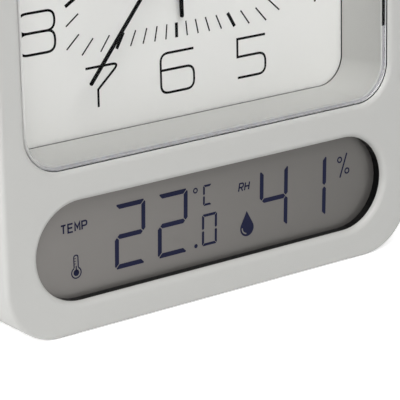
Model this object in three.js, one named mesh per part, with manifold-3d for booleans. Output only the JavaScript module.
// Bedside alarm clock: an analogue quartz dial above a digital temperature and humidity display.
// Millimetres. X runs to the viewer's right, Y from the front to the back, Z up.
// The origin lies on the table, under the middle of the overall box.

import * as THREE from 'three';
import { mergeVertices } from 'three/addons/utils/BufferGeometryUtils.js';
import Module from 'manifold-3d';

const wasm = await Module();
wasm.setup();

// Front of the case
const WINDOW_WIDTH = 83.2;
const WINDOW_HEIGHT = 80.06;
const WINDOW_RADIUS = 7.3;
const WINDOW_ROUND = 1.0;
const DISPLAY_WIDTH = 80.2;
const DISPLAY_HEIGHT = 18.75;
const DISPLAY_ROUND = 1.2;
const SIDE_BAND = 5.4;
const DISPLAY_SIDE_BAND = 6.9;
const TOP_BAND = 4.87;
const MIDDLE_BAND = 6.05;
const BOTTOM_BAND = 6.02;

// Case shells
const CASE_RADIUS = 11.2;
const FRONT_ROUND = 1.0;
const REAR_ROUND = 2.0;
const WALL = 2.2;
const FRONT_WALL = 2.4;
const REAR_WALL = 2.0;
const REAR_COVER_DEPTH = 4.5;
const SEAM_GAP = 0.15;
const LIP_LENGTH = 2.0;
const LIP_WALL = 1.0;
const FOOT_WIDTH = 15.05;
const BASE_RELIEF = 0.25;
const RELIEF_SLOPE = 0.6;
const WELL_WALL = 1.6;
const BOSS_RADIUS = 3.0;
const BOSS_BITE = 0.6;
const BOSS_START_GAP = 1.0;

// Dial and lens
const LENS_THICKNESS = 1.4;
const LENS_SETBACK = 0.7;
const LENS_BEVEL_WIDTH = 0.35;
const LENS_BEVEL_DEPTH = 0.2;
const LENS_LEDGE = 1.0;
const LENS_SLOT_WIDTH = 0.3;
const LENS_SLOT_LENGTH = 16;
const LENS_SLOT_DEPTH = 1.5;
const LENS_SLOT_OFFSET = 17;
const DIAL_DEPTH = 12.9;
const DIAL_THICKNESS = 0.8;
const DIAL_VIEW_WIDTH = 79.5;
const DIAL_VIEW_HEIGHT = 77.3;
const DIAL_VIEW_RADIUS = 5.6;

// Hands, all drawn from the dial's centre
const HAND_THICKNESS = 0.3;
const HAND_PITCH = 1.2;
const ALARM_HAND_HEIGHT = 1.25;
const ALARM_HAND_LENGTH = 19.6;
const ALARM_HAND_WIDTH = 0.75;
const ALARM_HAND_ANGLE = 178.8;
const HOUR_HAND_LENGTH = 19;
const HOUR_HAND_WIDTH = 2.4;
const HOUR_HAND_ANGLE = 304.8;
const MINUTE_HAND_LENGTH = 29;
const MINUTE_HAND_WIDTH = 1.8;
const MINUTE_HAND_ANGLE = 57.6;
const SECOND_HAND_LENGTH = 36;
const SECOND_HAND_TAIL = 11;
const SECOND_HAND_WIDTH = 0.66;
const SECOND_HAND_ANGLE = 219.3;
const HUB_MARGIN = 1.5;

// Nested tubes that carry the hands
const SECOND_ARBOR_RADIUS = 0.5;
const TUBE_WALL = 0.5;
const RUNNING_GAP = 0.1;
const PRESS_GAP = 0.05;

// Gear train: tooth counts and the modules that set the arbor distances
const SECOND_PINION_TEETH = 6;
const THIRD_WHEEL_TEETH = 45;
const THIRD_PINION_TEETH = 6;
const CENTRE_WHEEL_TEETH = 48;
const SECOND_WHEEL_TEETH = 30;
const STEP_PINION_TEETH = 6;
const STEP_WHEEL_TEETH = 36;
const ROTOR_PINION_TEETH = 6;
const CANNON_TEETH = 8;
const MINUTE_WHEEL_TEETH = 24;
const MINUTE_PINION_TEETH = 8;
const HOUR_WHEEL_TEETH = 32;
const TIME_SET_TEETH = 12;
const ALARM_WHEEL_TEETH = 28;
const ALARM_SET_TEETH = 20;
const SECOND_MODULE = 0.5;
const STEP_MODULE = 0.5;
const ROTOR_MODULE = 0.45;
const MINUTE_MODULE = 0.6;
const ALARM_MODULE = 0.55;
const ADDENDUM = 0.75;
const DEDENDUM = 1.15;
const ROOT_SHARE = 0.27;
const TIP_SHARE = 0.1;
const THIRD_ANGLE = 90;
const STEP_ANGLE = 40;
const ROTOR_ANGLE = 10;
const MINUTE_ANGLE = -90;
const TIME_SET_ANGLE = 170.4;
const ALARM_SET_ANGLE = -36.2;
const WHEEL_THICKNESS = 1.0;
const PINION_THICKNESS = 1.4;
const LAYER_GAP = 0.4;
const ARBOR_RADIUS = 0.6;
const SET_ARBOR_RADIUS = 1.0;

// Movement housing and motor
const MOVEMENT_WALL = 1.5;
const MOVEMENT_MARGIN = 0.8;
const MOVEMENT_RADIUS = 3;
const BUSH_WALL = 1.5;
const PIVOT_DEPTH = 0.8;
const PAD_RADIUS = 3.0;
const MAGNET_RADIUS = 3.0;
const MAGNET_GAP = 0.5;
const STATOR_RIM = 2.0;
const STATOR_THICKNESS = 1.0;
const STATOR_ARM = 3.2;
const COIL_RADIUS = 2.6;
const COIL_LENGTH = 15;
const COIL_FLANGE = 0.4;
const COIL_FLANGE_THICKNESS = 0.8;
const CLOCK_BOARD_WIDTH = 10;
const CLOCK_BOARD_HEIGHT = 24;
const BOARD_THICKNESS = 1.2;
const CRYSTAL_RADIUS = 1.0;
const CRYSTAL_LENGTH = 6.2;

// Display module
const BEZEL_DEPTH = 1.6;
const BEZEL_MARGIN = 2.0;
const BEZEL_RADIUS = 3.0;
const GLASS_MARGIN = 1.5;
const GLASS_PLATE = 1.1;
const GLASS_LEDGE = 1.1;
const STRIP_WIDTH = 1.8;
const STRIP_HEIGHT = 2.2;
const STRIP_INSET = 2.5;
const BOARD_LEDGE = 0.9;
const CHIP_RADIUS = 4.5;
const CHIP_HEIGHT = 1.3;
const SENSOR_SIZE = 5;
const SENSOR_HEIGHT = 1.8;
const TACT_SIZE = 5;
const TACT_HEIGHT = 2.2;
const TACT_PLUNGER_RADIUS = 1.4;
const TACT_PLUNGER_RISE = 0.8;

// Snooze bar in the top of the case
const SNOOZE_LENGTH = 54;
const SNOOZE_WIDTH = 9.6;
const SNOOZE_RISE = 2.6;
const SNOOZE_ROUND = 1.0;
const SNOOZE_TRAVEL = 1.5;
const SNOOZE_GAP = 0.3;
const SNOOZE_FLANGE = 2.0;
const SNOOZE_FLANGE_THICKNESS = 1.2;
const SNOOZE_STEM_RADIUS = 1.6;
const SNOOZE_SHELF = 1.2;
const SPRING_LENGTH = 7.4;
const SPRING_RADIUS = 2.2;
const SPRING_WIRE = 0.3;
const SPRING_CURLS = 5;
const SPRING_SPREAD = 34;

// Controls on the back
const KNOB_REACH = 7.0;
const KNOB_RADIUS = 7.4;
const KNOB_GAP = 0.5;
const KNOB_FLUTES = 20;
const KNOB_FLUTE_DEPTH = 0.5;
const KNOB_CHAMFER = 0.8;
const KNOB_COLLAR = 2.4;
const KNOB_CLEARANCE = 0.4;
const SIDE_CONTROL_INSET = 11;
const SIDE_CONTROL_Z = 86;
const SWITCH_TRAVEL = 4.0;
const SWITCH_STEM = 2.4;
const SWITCH_THUMB_WIDTH = 5.0;
const SWITCH_THUMB_HEIGHT = 6.0;
const SWITCH_THUMB_RISE = 2.2;
const SWITCH_THUMB_RIBS = 3;
const SWITCH_CARRIAGE = 1.2;
const SWITCH_BODY_WIDTH = 10;
const SWITCH_BODY_DEPTH = 5.0;
const SWITCH_BODY_WALL = 1.2;
const BUTTON_RADIUS = 3.0;
const BUTTON_RISE = 1.0;
const BUTTON_TRAVEL = 0.6;
const BUTTON_FLANGE = 1.0;
const BUTTON_FLANGE_THICKNESS = 1.0;
const BUTTON_STEM_RADIUS = 1.5;
const BUTTON_Z = 16;
const SLIDING_GAP = 0.3;
const BUZZER_RADIUS = 6.5;
const BUZZER_DEPTH = 5.0;
const SLOT_COUNT = 5;
const SLOT_WIDTH = 1.2;
const SLOT_LENGTH = 9;
const SLOT_PITCH = 2.6;

// Battery compartment
const CELL_RADIUS = 7.25;
const CELL_LENGTH = 49.2;
const CELL_NUB_RADIUS = 2.75;
const CELL_NUB_LENGTH = 1.3;
const CELL_GAP = 0.35;
const CELL_PITCH_GAP = 0.6;
const TROUGH_WALL = 1.5;
const TROUGH_FLOOR_Z = 6.0;
const DOOR_THICKNESS = 1.8;
const DOOR_MARGIN = 2.2;
const DOOR_FRAME = 1.5;
const DOOR_RADIUS = 2.0;
const DOOR_TAB_WIDTH = 8;
const DOOR_TAB_REACH = 1.6;
const DOOR_TAB_THICKNESS = 1.0;
const DOOR_LATCH_WIDTH = 12;
const CONTACT_THICKNESS = 0.4;
const CONTACT_SIZE = 9;
const CONTACT_SPRING_LENGTH = 2.8;
const CONTACT_SPRING_RADIUS = 3.2;
const CONTACT_SPRING_TIP = 1.6;
const CONTACT_WIRE = 0.25;
const CONTACT_CURLS = 3;

// Case screws
const SCREW_RADIUS = 1.2;
const SCREW_HEAD_RADIUS = 2.2;
const SCREW_HEAD_HEIGHT = 1.4;
const SCREW_LENGTH = 10;
const SCREW_SINK = 0.4;

// Fits and facets
const SEAT_GAP = 0.05;
const FIT_GAP = 0.15;
const WELD = 1e-4;
const PAST = 1;
const CORNER_STEPS = 6;
const END_STEPS = 9;
const EDGE_STEPS = 4;
const ROUND_SIDES = 20;
const SMALL_SIDES = 12;

// Heights and widths that follow from the front's layout
const CASE_WIDTH = Math.max(WINDOW_WIDTH + 2 * SIDE_BAND, DISPLAY_WIDTH + 2 * DISPLAY_SIDE_BAND);
const DISPLAY_Z = BOTTOM_BAND + DISPLAY_HEIGHT / 2;
const WINDOW_FLOOR_Z = BOTTOM_BAND + DISPLAY_HEIGHT + MIDDLE_BAND;
const DIAL_Z = WINDOW_FLOOR_Z + WINDOW_HEIGHT / 2;
const CASE_HEIGHT = WINDOW_FLOOR_Z + WINDOW_HEIGHT + TOP_BAND;
const INNER_HALF_WIDTH = CASE_WIDTH / 2 - WALL;
const SIDE_CONTROL_X = CASE_WIDTH / 2 - SIDE_CONTROL_INSET;
const INNER_TOP_Z = CASE_HEIGHT - WALL;
const INNER_RADIUS = CASE_RADIUS - WALL;

// Layers of the movement, counted back from its front face
const BASE_BACK = MOVEMENT_WALL;
const ALARM_LAYER = BASE_BACK + LAYER_GAP;
const HOUR_LAYER = ALARM_LAYER + WHEEL_THICKNESS + LAYER_GAP;
const CANNON_LAYER = HOUR_LAYER + PINION_THICKNESS + LAYER_GAP;
const CENTRE_LAYER = CANNON_LAYER + PINION_THICKNESS + LAYER_GAP;
const THIRD_LAYER = CENTRE_LAYER + PINION_THICKNESS + LAYER_GAP;
const SECOND_LAYER = THIRD_LAYER + PINION_THICKNESS + LAYER_GAP;
const STEP_LAYER = SECOND_LAYER + PINION_THICKNESS + LAYER_GAP;
const COVER_FRONT = STEP_LAYER + PINION_THICKNESS + LAYER_GAP;
const MOVEMENT_DEPTH = COVER_FRONT + MOVEMENT_WALL;

// Depths that follow from the stack behind the front face
const MOVEMENT_STACK = MOVEMENT_DEPTH + 2 * SEAT_GAP + SLIDING_GAP + REAR_WALL;
const CELL_STACK = SLIDING_GAP + TROUGH_WALL + 2 * (CELL_RADIUS + CELL_GAP) + DOOR_THICKNESS;
const CASE_DEPTH = DIAL_DEPTH + DIAL_THICKNESS + Math.max(MOVEMENT_STACK, CELL_STACK);
const FRONT_Y = -(CASE_DEPTH + KNOB_REACH) / 2;
const REAR_Y = FRONT_Y + CASE_DEPTH;
const REAR_INNER_Y = REAR_Y - REAR_WALL;
const SEAM_Y = REAR_Y - REAR_COVER_DEPTH;
const LIP_Y = SEAM_Y - LIP_LENGTH;
const LENS_Y = FRONT_Y + LENS_SETBACK;
const LENS_BACK_Y = LENS_Y + LENS_THICKNESS;
const DIAL_Y = FRONT_Y + DIAL_DEPTH;
const DIAL_BACK_Y = DIAL_Y + DIAL_THICKNESS;
const MOVEMENT_Y = DIAL_BACK_Y + SEAT_GAP;
const BEZEL_Y = FRONT_Y + DISPLAY_ROUND + SEAT_GAP;
const GLASS_Y = BEZEL_Y + BEZEL_DEPTH + SEAT_GAP;
const STRIP_Y = GLASS_Y + 2 * GLASS_PLATE + SEAT_GAP;
const BOARD_Y = STRIP_Y + STRIP_HEIGHT + SEAT_GAP;
const BOARD_BACK_Y = BOARD_Y + BOARD_THICKNESS;

// Nested tubes, from the inside out
const CANNON_BORE = SECOND_ARBOR_RADIUS + RUNNING_GAP;
const CANNON_RADIUS = CANNON_BORE + TUBE_WALL;
const HOUR_BORE = CANNON_RADIUS + RUNNING_GAP;
const HOUR_RADIUS = HOUR_BORE + TUBE_WALL;
const ALARM_BORE = HOUR_RADIUS + RUNNING_GAP;
const ALARM_RADIUS = ALARM_BORE + TUBE_WALL;
const BUSH_BORE = ALARM_RADIUS + RUNNING_GAP;
const BUSH_RADIUS = BUSH_BORE + BUSH_WALL;

// Hand planes: heights of the hands' front faces above the dial
const ALARM_HAND_TOP = ALARM_HAND_HEIGHT + HAND_THICKNESS / 2;
const HOUR_HAND_TOP = ALARM_HAND_TOP + HAND_PITCH;
const MINUTE_HAND_TOP = HOUR_HAND_TOP + HAND_PITCH;
const SECOND_HAND_TOP = MINUTE_HAND_TOP + HAND_PITCH;

// Battery compartment layout
const DOOR_INNER_Y = REAR_Y - DOOR_THICKNESS;
const CELL_Y = DOOR_INNER_Y - CELL_GAP - CELL_RADIUS;
const LOWER_CELL_Z = TROUGH_FLOOR_Z + CELL_GAP + CELL_RADIUS;
const UPPER_CELL_Z = LOWER_CELL_Z + 2 * CELL_RADIUS + CELL_PITCH_GAP;
const TROUGH_TOP_Z = UPPER_CELL_Z + CELL_RADIUS + CELL_GAP;
const TROUGH_FRONT_Y = CELL_Y - CELL_RADIUS - CELL_GAP;
const PLUS_END = CELL_LENGTH / 2 + CELL_NUB_LENGTH + CELL_GAP + CONTACT_THICKNESS + SEAT_GAP;
const MINUS_END = CELL_LENGTH / 2 + CELL_GAP + CONTACT_SPRING_LENGTH + CONTACT_THICKNESS + SEAT_GAP;
const TROUGH_HALF = Math.max(PLUS_END, MINUS_END);

// Snooze bar layout
const SNOOZE_Y = (DIAL_BACK_Y + LIP_Y) / 2;
const SNOOZE_FLANGE_TOP = INNER_TOP_Z - SLIDING_GAP;
const SNOOZE_FLANGE_Z = SNOOZE_FLANGE_TOP - SNOOZE_FLANGE_THICKNESS;
const SNOOZE_SHELF_Z = SNOOZE_FLANGE_Z - SPRING_LENGTH - 2 * SEAT_GAP;
const SNOOZE_FLANGE_HALF = SNOOZE_LENGTH / 2 + SNOOZE_FLANGE;

// Rounded corner of a screw boss: how far its centre stays from the case's inner walls
const BOSS_OFFSET = INNER_RADIUS - (INNER_RADIUS + BOSS_BITE - BOSS_RADIUS) * Math.SQRT1_2;
const BOSS_X = INNER_HALF_WIDTH - BOSS_OFFSET;
const BOSS_LOW_Z = WALL + BOSS_OFFSET;
const BOSS_HIGH_Z = INNER_TOP_Z - BOSS_OFFSET;
const BOSS_FRONT_Y = DIAL_BACK_Y + BOSS_START_GAP;

// Merges shared corners and drops triangles that close up to nothing
function weld(geometry) {
  const bare = new THREE.BufferGeometry();
  bare.setAttribute('position', geometry.getAttribute('position').clone());
  if (geometry.index) bare.setIndex(geometry.index.clone());
  const merged = mergeVertices(bare, WELD);
  const corners = merged.index.array;
  const kept = [];
  for (let i = 0; i < corners.length; i += 3) {
    const [a, b, c] = corners.slice(i, i + 3);
    if (a !== b && b !== c && c !== a) kept.push(a, b, c);
  }
  merged.setIndex(kept);
  return merged;
}

function enclosedVolume(geometry) {
  const position = geometry.getAttribute('position');
  const corners = geometry.index.array;
  const [a, b, c] = [new THREE.Vector3(), new THREE.Vector3(), new THREE.Vector3()];
  let volume = 0;
  for (let i = 0; i < corners.length; i += 3) {
    a.fromBufferAttribute(position, corners[i]);
    b.fromBufferAttribute(position, corners[i + 1]);
    c.fromBufferAttribute(position, corners[i + 2]);
    volume += a.dot(b.cross(c)) / 6;
  }
  return volume;
}

// A welded copy whose faces point out
function closed(geometry) {
  const welded = weld(geometry);
  if (enclosedVolume(welded) < 0) welded.setIndex([...welded.index.array].reverse());
  return welded;
}

function toSolid(geometry) {
  const welded = closed(geometry);
  return new wasm.Manifold(new wasm.Mesh({
    numProp: 3,
    vertProperties: Float32Array.from(welded.getAttribute('position').array),
    triVerts: Uint32Array.from(welded.index.array),
  }));
}

function toGeometry(solid) {
  const mesh = solid.getMesh();
  const geometry = new THREE.BufferGeometry();
  geometry.setAttribute('position', new THREE.BufferAttribute(mesh.vertProperties, 3));
  geometry.setIndex(new THREE.BufferAttribute(mesh.triVerts, 1));
  return geometry;
}

function join(...geometries) {
  return toGeometry(geometries.map(toSolid).reduce((whole, piece) => whole.add(piece)));
}

function cut(geometry, ...tools) {
  return toGeometry(tools.map(toSolid).reduce((whole, tool) => whole.subtract(tool), toSolid(geometry)));
}

// Corner points of a rounded rectangle, counter-clockwise as seen from the front
function roundedOutline(width, height, radius, z = 0, steps = CORNER_STEPS) {
  const points = [];
  const reachX = width / 2 - radius;
  const reachZ = height / 2 - radius;
  const corners = [[1, 1], [-1, 1], [-1, -1], [1, -1]];
  corners.forEach(([sideX, sideZ], quarter) => {
    for (let i = 0; i <= steps; i += 1) {
      const angle = (quarter + i / steps) * Math.PI / 2;
      points.push([sideX * reachX + radius * Math.cos(angle), z + sideZ * reachZ + radius * Math.sin(angle)]);
    }
  });
  return points;
}

// A closed skin over outlines that stand one behind the other along Y
function loft(sections) {
  const count = sections[0].outline.length;
  const vertices = [];
  const corners = [];
  sections.forEach(({ y, outline }) => outline.forEach(([x, z]) => vertices.push(x, y, z)));
  for (let s = 0; s + 1 < sections.length; s += 1) {
    for (let i = 0; i < count; i += 1) {
      const near = s * count + i;
      const next = s * count + (i + 1) % count;
      corners.push(near, near + count, next, next, near + count, next + count);
    }
  }
  [0, sections.length - 1].forEach((s) => {
    const outline = sections[s].outline;
    const middle = vertices.length / 3;
    const mean = (axis) => outline.reduce((sum, point) => sum + point[axis], 0) / count;
    vertices.push(mean(0), sections[s].y, mean(1));
    for (let i = 0; i < count; i += 1) {
      const here = s * count + i;
      const next = s * count + (i + 1) % count;
      corners.push(...(s === 0 ? [middle, here, next] : [middle, next, here]));
    }
  });
  const geometry = new THREE.BufferGeometry();
  geometry.setAttribute('position', new THREE.Float32BufferAttribute(vertices, 3));
  geometry.setIndex(corners);
  return geometry;
}

// Quarter-round profile: how far the edge draws in at each depth
function quarterRound(radius, steps = EDGE_STEPS) {
  return Array.from({ length: steps + 1 }, (_, i) => {
    const angle = i / steps * Math.PI / 2;
    return { inset: radius * (1 - Math.sin(angle)), depth: radius * (1 - Math.cos(angle)) };
  });
}

// A rounded-rectangle tunnel whose front rim is rounded outwards, cut from before the front to yBack
function rimVoid(width, height, radius, z, rim, yBack, steps) {
  const sections = quarterRound(rim).map(({ inset, depth }) => ({
    y: FRONT_Y + depth,
    outline: roundedOutline(width + 2 * inset, height + 2 * inset, radius + inset, z, steps),
  }));
  const mouth = { y: FRONT_Y - PAST, outline: sections[0].outline };
  return loft([mouth, ...sections, { y: yBack, outline: roundedOutline(width, height, radius, z, steps) }]);
}

// A straight block with rounded corners between two depths
function plate(width, height, radius, z, yFront, yBack, steps) {
  const outline = roundedOutline(width, height, radius, z, steps);
  return loft([{ y: yFront, outline }, { y: yBack, outline }]);
}

function block(xLow, xHigh, yLow, yHigh, zLow, zHigh) {
  const box = new THREE.BoxGeometry(xHigh - xLow, yHigh - yLow, zHigh - zLow);
  return box.translate((xLow + xHigh) / 2, (yLow + yHigh) / 2, (zLow + zHigh) / 2);
}

// A round bar along Y
function rod(radius, yFront, yBack, x = 0, z = 0, sides = SMALL_SIDES) {
  const bar = new THREE.CylinderGeometry(radius, radius, yBack - yFront, sides);
  return bar.translate(x, (yFront + yBack) / 2, z);
}

// A round bar along Z
function post(radius, zLow, zHigh, x, y, sides = SMALL_SIDES) {
  const bar = new THREE.CylinderGeometry(radius, radius, zHigh - zLow, sides).rotateX(Math.PI / 2);
  return bar.translate(x, y, (zLow + zHigh) / 2);
}

// A flat shape drawn as seen from the front, between two depths
function prism(shape, yFront, yBack, curveSegments = CORNER_STEPS) {
  const depth = yBack - yFront;
  const flat = new THREE.ExtrudeGeometry(shape, { depth, bevelEnabled: false, curveSegments });
  return flat.rotateX(Math.PI / 2).translate(0, yBack, 0);
}

// A turned solid about Y; the profile starts and ends on the axis
function turned(profile, sides = ROUND_SIDES) {
  return new THREE.LatheGeometry(profile.map(([r, y]) => new THREE.Vector2(r, y)), sides);
}

// One toothed ring of the train
function gear(teeth, module, x, z, phase = 0) {
  return { teeth, module, x, z, phase, tip: module * (teeth / 2 + ADDENDUM) };
}

// The gear that meshes with a driver at a given direction; its teeth stand in the driver's gaps
function meshed(driver, teeth, degrees, module = driver.module) {
  const angle = THREE.MathUtils.degToRad(degrees);
  const distance = module * (driver.teeth + teeth) / 2;
  const turn = Math.PI - driver.teeth * (driver.phase - angle);
  const x = driver.x + distance * Math.cos(angle);
  const z = driver.z + distance * Math.sin(angle);
  return gear(teeth, module, x, z, angle + Math.PI + turn / teeth);
}

function toothedShape({ teeth, module, phase }) {
  const shape = new THREE.Shape();
  const step = Math.PI * 2 / teeth;
  const root = module * (teeth / 2 - DEDENDUM);
  const tip = module * (teeth / 2 + ADDENDUM);
  const corners = [[root, -ROOT_SHARE], [tip, -TIP_SHARE], [tip, TIP_SHARE], [root, ROOT_SHARE]];
  const points = [];
  for (let tooth = 0; tooth < teeth; tooth += 1) {
    corners.forEach(([radius, share]) => {
      const angle = phase + (tooth + share) * step;
      points.push(new THREE.Vector2(radius * Math.cos(angle), radius * Math.sin(angle)));
    });
  }
  return shape.setFromPoints(points);
}

function teethOf(wheel, yFront, thickness) {
  return prism(toothedShape(wheel), yFront, yFront + thickness);
}

// A coil spring's centre line along +Z, with one closed turn's worth of rise spread evenly
class CoilCurve extends THREE.Curve {
  constructor(length, startRadius, endRadius, curls) {
    super();
    Object.assign(this, { length, startRadius, endRadius, curls });
  }

  getPoint(t, target = new THREE.Vector3()) {
    const angle = t * this.curls * Math.PI * 2;
    const radius = this.startRadius + (this.endRadius - this.startRadius) * t;
    return target.set(radius * Math.cos(angle), radius * Math.sin(angle), this.length * t);
  }
}

const CURL_STEPS = 8;
const WIRE_SIDES = 5;

function coil(curve, wire) {
  const section = new THREE.Shape();
  section.setFromPoints(Array.from({ length: WIRE_SIDES }, (_, i) => {
    const angle = i / WIRE_SIDES * Math.PI * 2;
    return new THREE.Vector2(wire * Math.cos(angle), wire * Math.sin(angle));
  }));
  const steps = Math.round(curve.curls * CURL_STEPS);
  return new THREE.ExtrudeGeometry(section, { steps, bevelEnabled: false, extrudePath: curve });
}

// Least clear distance between neighbouring turns of a coil
function coilGap(curve, wire) {
  const samples = Math.round(curve.curls * CURL_STEPS * 4);
  const points = Array.from({ length: samples + 1 }, (_, i) => curve.getPoint(i / samples));
  const halfTurn = Math.round(samples / curve.curls / 2);
  let least = Infinity;
  points.forEach((point, i) => {
    points.slice(i + halfTurn).forEach((other) => {
      least = Math.min(least, point.distanceTo(other));
    });
  });
  return least - 2 * wire;
}

// The gear train, placed from the dial's centre
const centred = { x: 0, z: 0 };
const secondPinion = gear(SECOND_PINION_TEETH, SECOND_MODULE, centred.x, centred.z);
const thirdWheel = meshed(secondPinion, THIRD_WHEEL_TEETH, THIRD_ANGLE);
const thirdDistance = thirdWheel.module * (SECOND_PINION_TEETH + THIRD_WHEEL_TEETH) / 2;
const centreModule = 2 * thirdDistance / (THIRD_PINION_TEETH + CENTRE_WHEEL_TEETH);
const thirdPinion = gear(THIRD_PINION_TEETH, centreModule, thirdWheel.x, thirdWheel.z);
const centreWheel = meshed(thirdPinion, CENTRE_WHEEL_TEETH, THIRD_ANGLE + 180);
const secondWheel = gear(SECOND_WHEEL_TEETH, STEP_MODULE, centred.x, centred.z);
const stepPinion = meshed(secondWheel, STEP_PINION_TEETH, STEP_ANGLE);
const stepWheel = gear(STEP_WHEEL_TEETH, ROTOR_MODULE, stepPinion.x, stepPinion.z);
const rotorPinion = meshed(stepWheel, ROTOR_PINION_TEETH, ROTOR_ANGLE);
const cannon = gear(CANNON_TEETH, MINUTE_MODULE, centred.x, centred.z);
const minuteWheel = meshed(cannon, MINUTE_WHEEL_TEETH, MINUTE_ANGLE);
const minuteDistance = MINUTE_MODULE * (CANNON_TEETH + MINUTE_WHEEL_TEETH) / 2;
const hourModule = 2 * minuteDistance / (MINUTE_PINION_TEETH + HOUR_WHEEL_TEETH);
const minutePinion = gear(MINUTE_PINION_TEETH, hourModule, minuteWheel.x, minuteWheel.z);
const hourWheel = meshed(minutePinion, HOUR_WHEEL_TEETH, MINUTE_ANGLE + 180);
const timeSet = meshed(minuteWheel, TIME_SET_TEETH, TIME_SET_ANGLE);
const alarmWheel = gear(ALARM_WHEEL_TEETH, ALARM_MODULE, centred.x, centred.z);
const alarmSet = meshed(alarmWheel, ALARM_SET_TEETH, ALARM_SET_ANGLE);

// The movement's housing is sized to hold every wheel, the coil and the circuit board
const allGears = [thirdWheel, centreWheel, stepWheel, rotorPinion, minuteWheel, timeSet, alarmSet];
const gearReach = Math.max(...allGears.map(({ x, z, tip }) => Math.max(Math.abs(x), Math.abs(z)) + tip));
const statorRadius = MAGNET_RADIUS + MAGNET_GAP + STATOR_RIM;
const coilX = rotorPinion.x + statorRadius + COIL_FLANGE;
const coilReach = coilX + COIL_RADIUS + COIL_FLANGE;
const movementInner = Math.max(gearReach, coilReach) + MOVEMENT_MARGIN;
const movementHalf = movementInner + MOVEMENT_WALL;

const group = new THREE.Group();
const movement = new THREE.Group();
movement.position.set(0, MOVEMENT_Y, DIAL_Z);
group.add(movement);

function finish(color, roughness, metalness = 0) {
  return { color, roughness, metalness };
}

const CASE_PLASTIC = finish(0xd9dad6, 0.45);
const BLACK_PLASTIC = finish(0x17181a, 0.5);
const BLACK_PAINT = finish(0x0e0e10, 0.45);
const WHITE_CARD = finish(0xe9e9e5, 0.7);
const CLEAR_ACRYLIC = finish(0xe8eef0, 0.05);
const DISPLAY_GLASS = finish(0x8a8680, 0.25);
const NATURAL_NYLON = finish(0xe6e2d3, 0.5);
const BRASS = finish(0xc9a24a, 0.3, 1);
const STEEL = finish(0xb9bcc0, 0.35, 1);
const COPPER = finish(0xb5602f, 0.4, 1);
const CIRCUIT_BOARD = finish(0x1f6b3c, 0.5);
const GREY_RUBBER = finish(0x55585c, 0.8);
const CELL_JACKET = finish(0x3f6f8f, 0.35);

function addPart(name, geometry, surface, parent = group) {
  const shape = closed(geometry);
  shape.computeVertexNormals();
  const mesh = new THREE.Mesh(shape, new THREE.MeshStandardMaterial(surface));
  mesh.name = name;
  parent.add(mesh);
  return mesh;
}

// The underside is relieved between two flat lands, so that the case stands on its corners
function baseRelief() {
  const reach = CASE_WIDTH / 2 - FOOT_WIDTH;
  const shape = new THREE.Shape([
    new THREE.Vector2(-reach - RELIEF_SLOPE, -PAST),
    new THREE.Vector2(reach + RELIEF_SLOPE, -PAST),
    new THREE.Vector2(reach + RELIEF_SLOPE, 0),
    new THREE.Vector2(reach, BASE_RELIEF),
    new THREE.Vector2(-reach, BASE_RELIEF),
    new THREE.Vector2(-reach - RELIEF_SLOPE, 0),
  ]);
  return prism(shape, FRONT_Y - PAST, REAR_Y + PAST);
}

function caseOutline(inset) {
  const width = CASE_WIDTH - 2 * inset;
  const height = CASE_HEIGHT - 2 * inset;
  return roundedOutline(width, height, CASE_RADIUS - inset, CASE_HEIGHT / 2);
}

const bossPlaces = [
  [-BOSS_X, BOSS_LOW_Z],
  [BOSS_X, BOSS_LOW_Z],
  [-BOSS_X, BOSS_HIGH_Z],
  [BOSS_X, BOSS_HIGH_Z],
];

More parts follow.
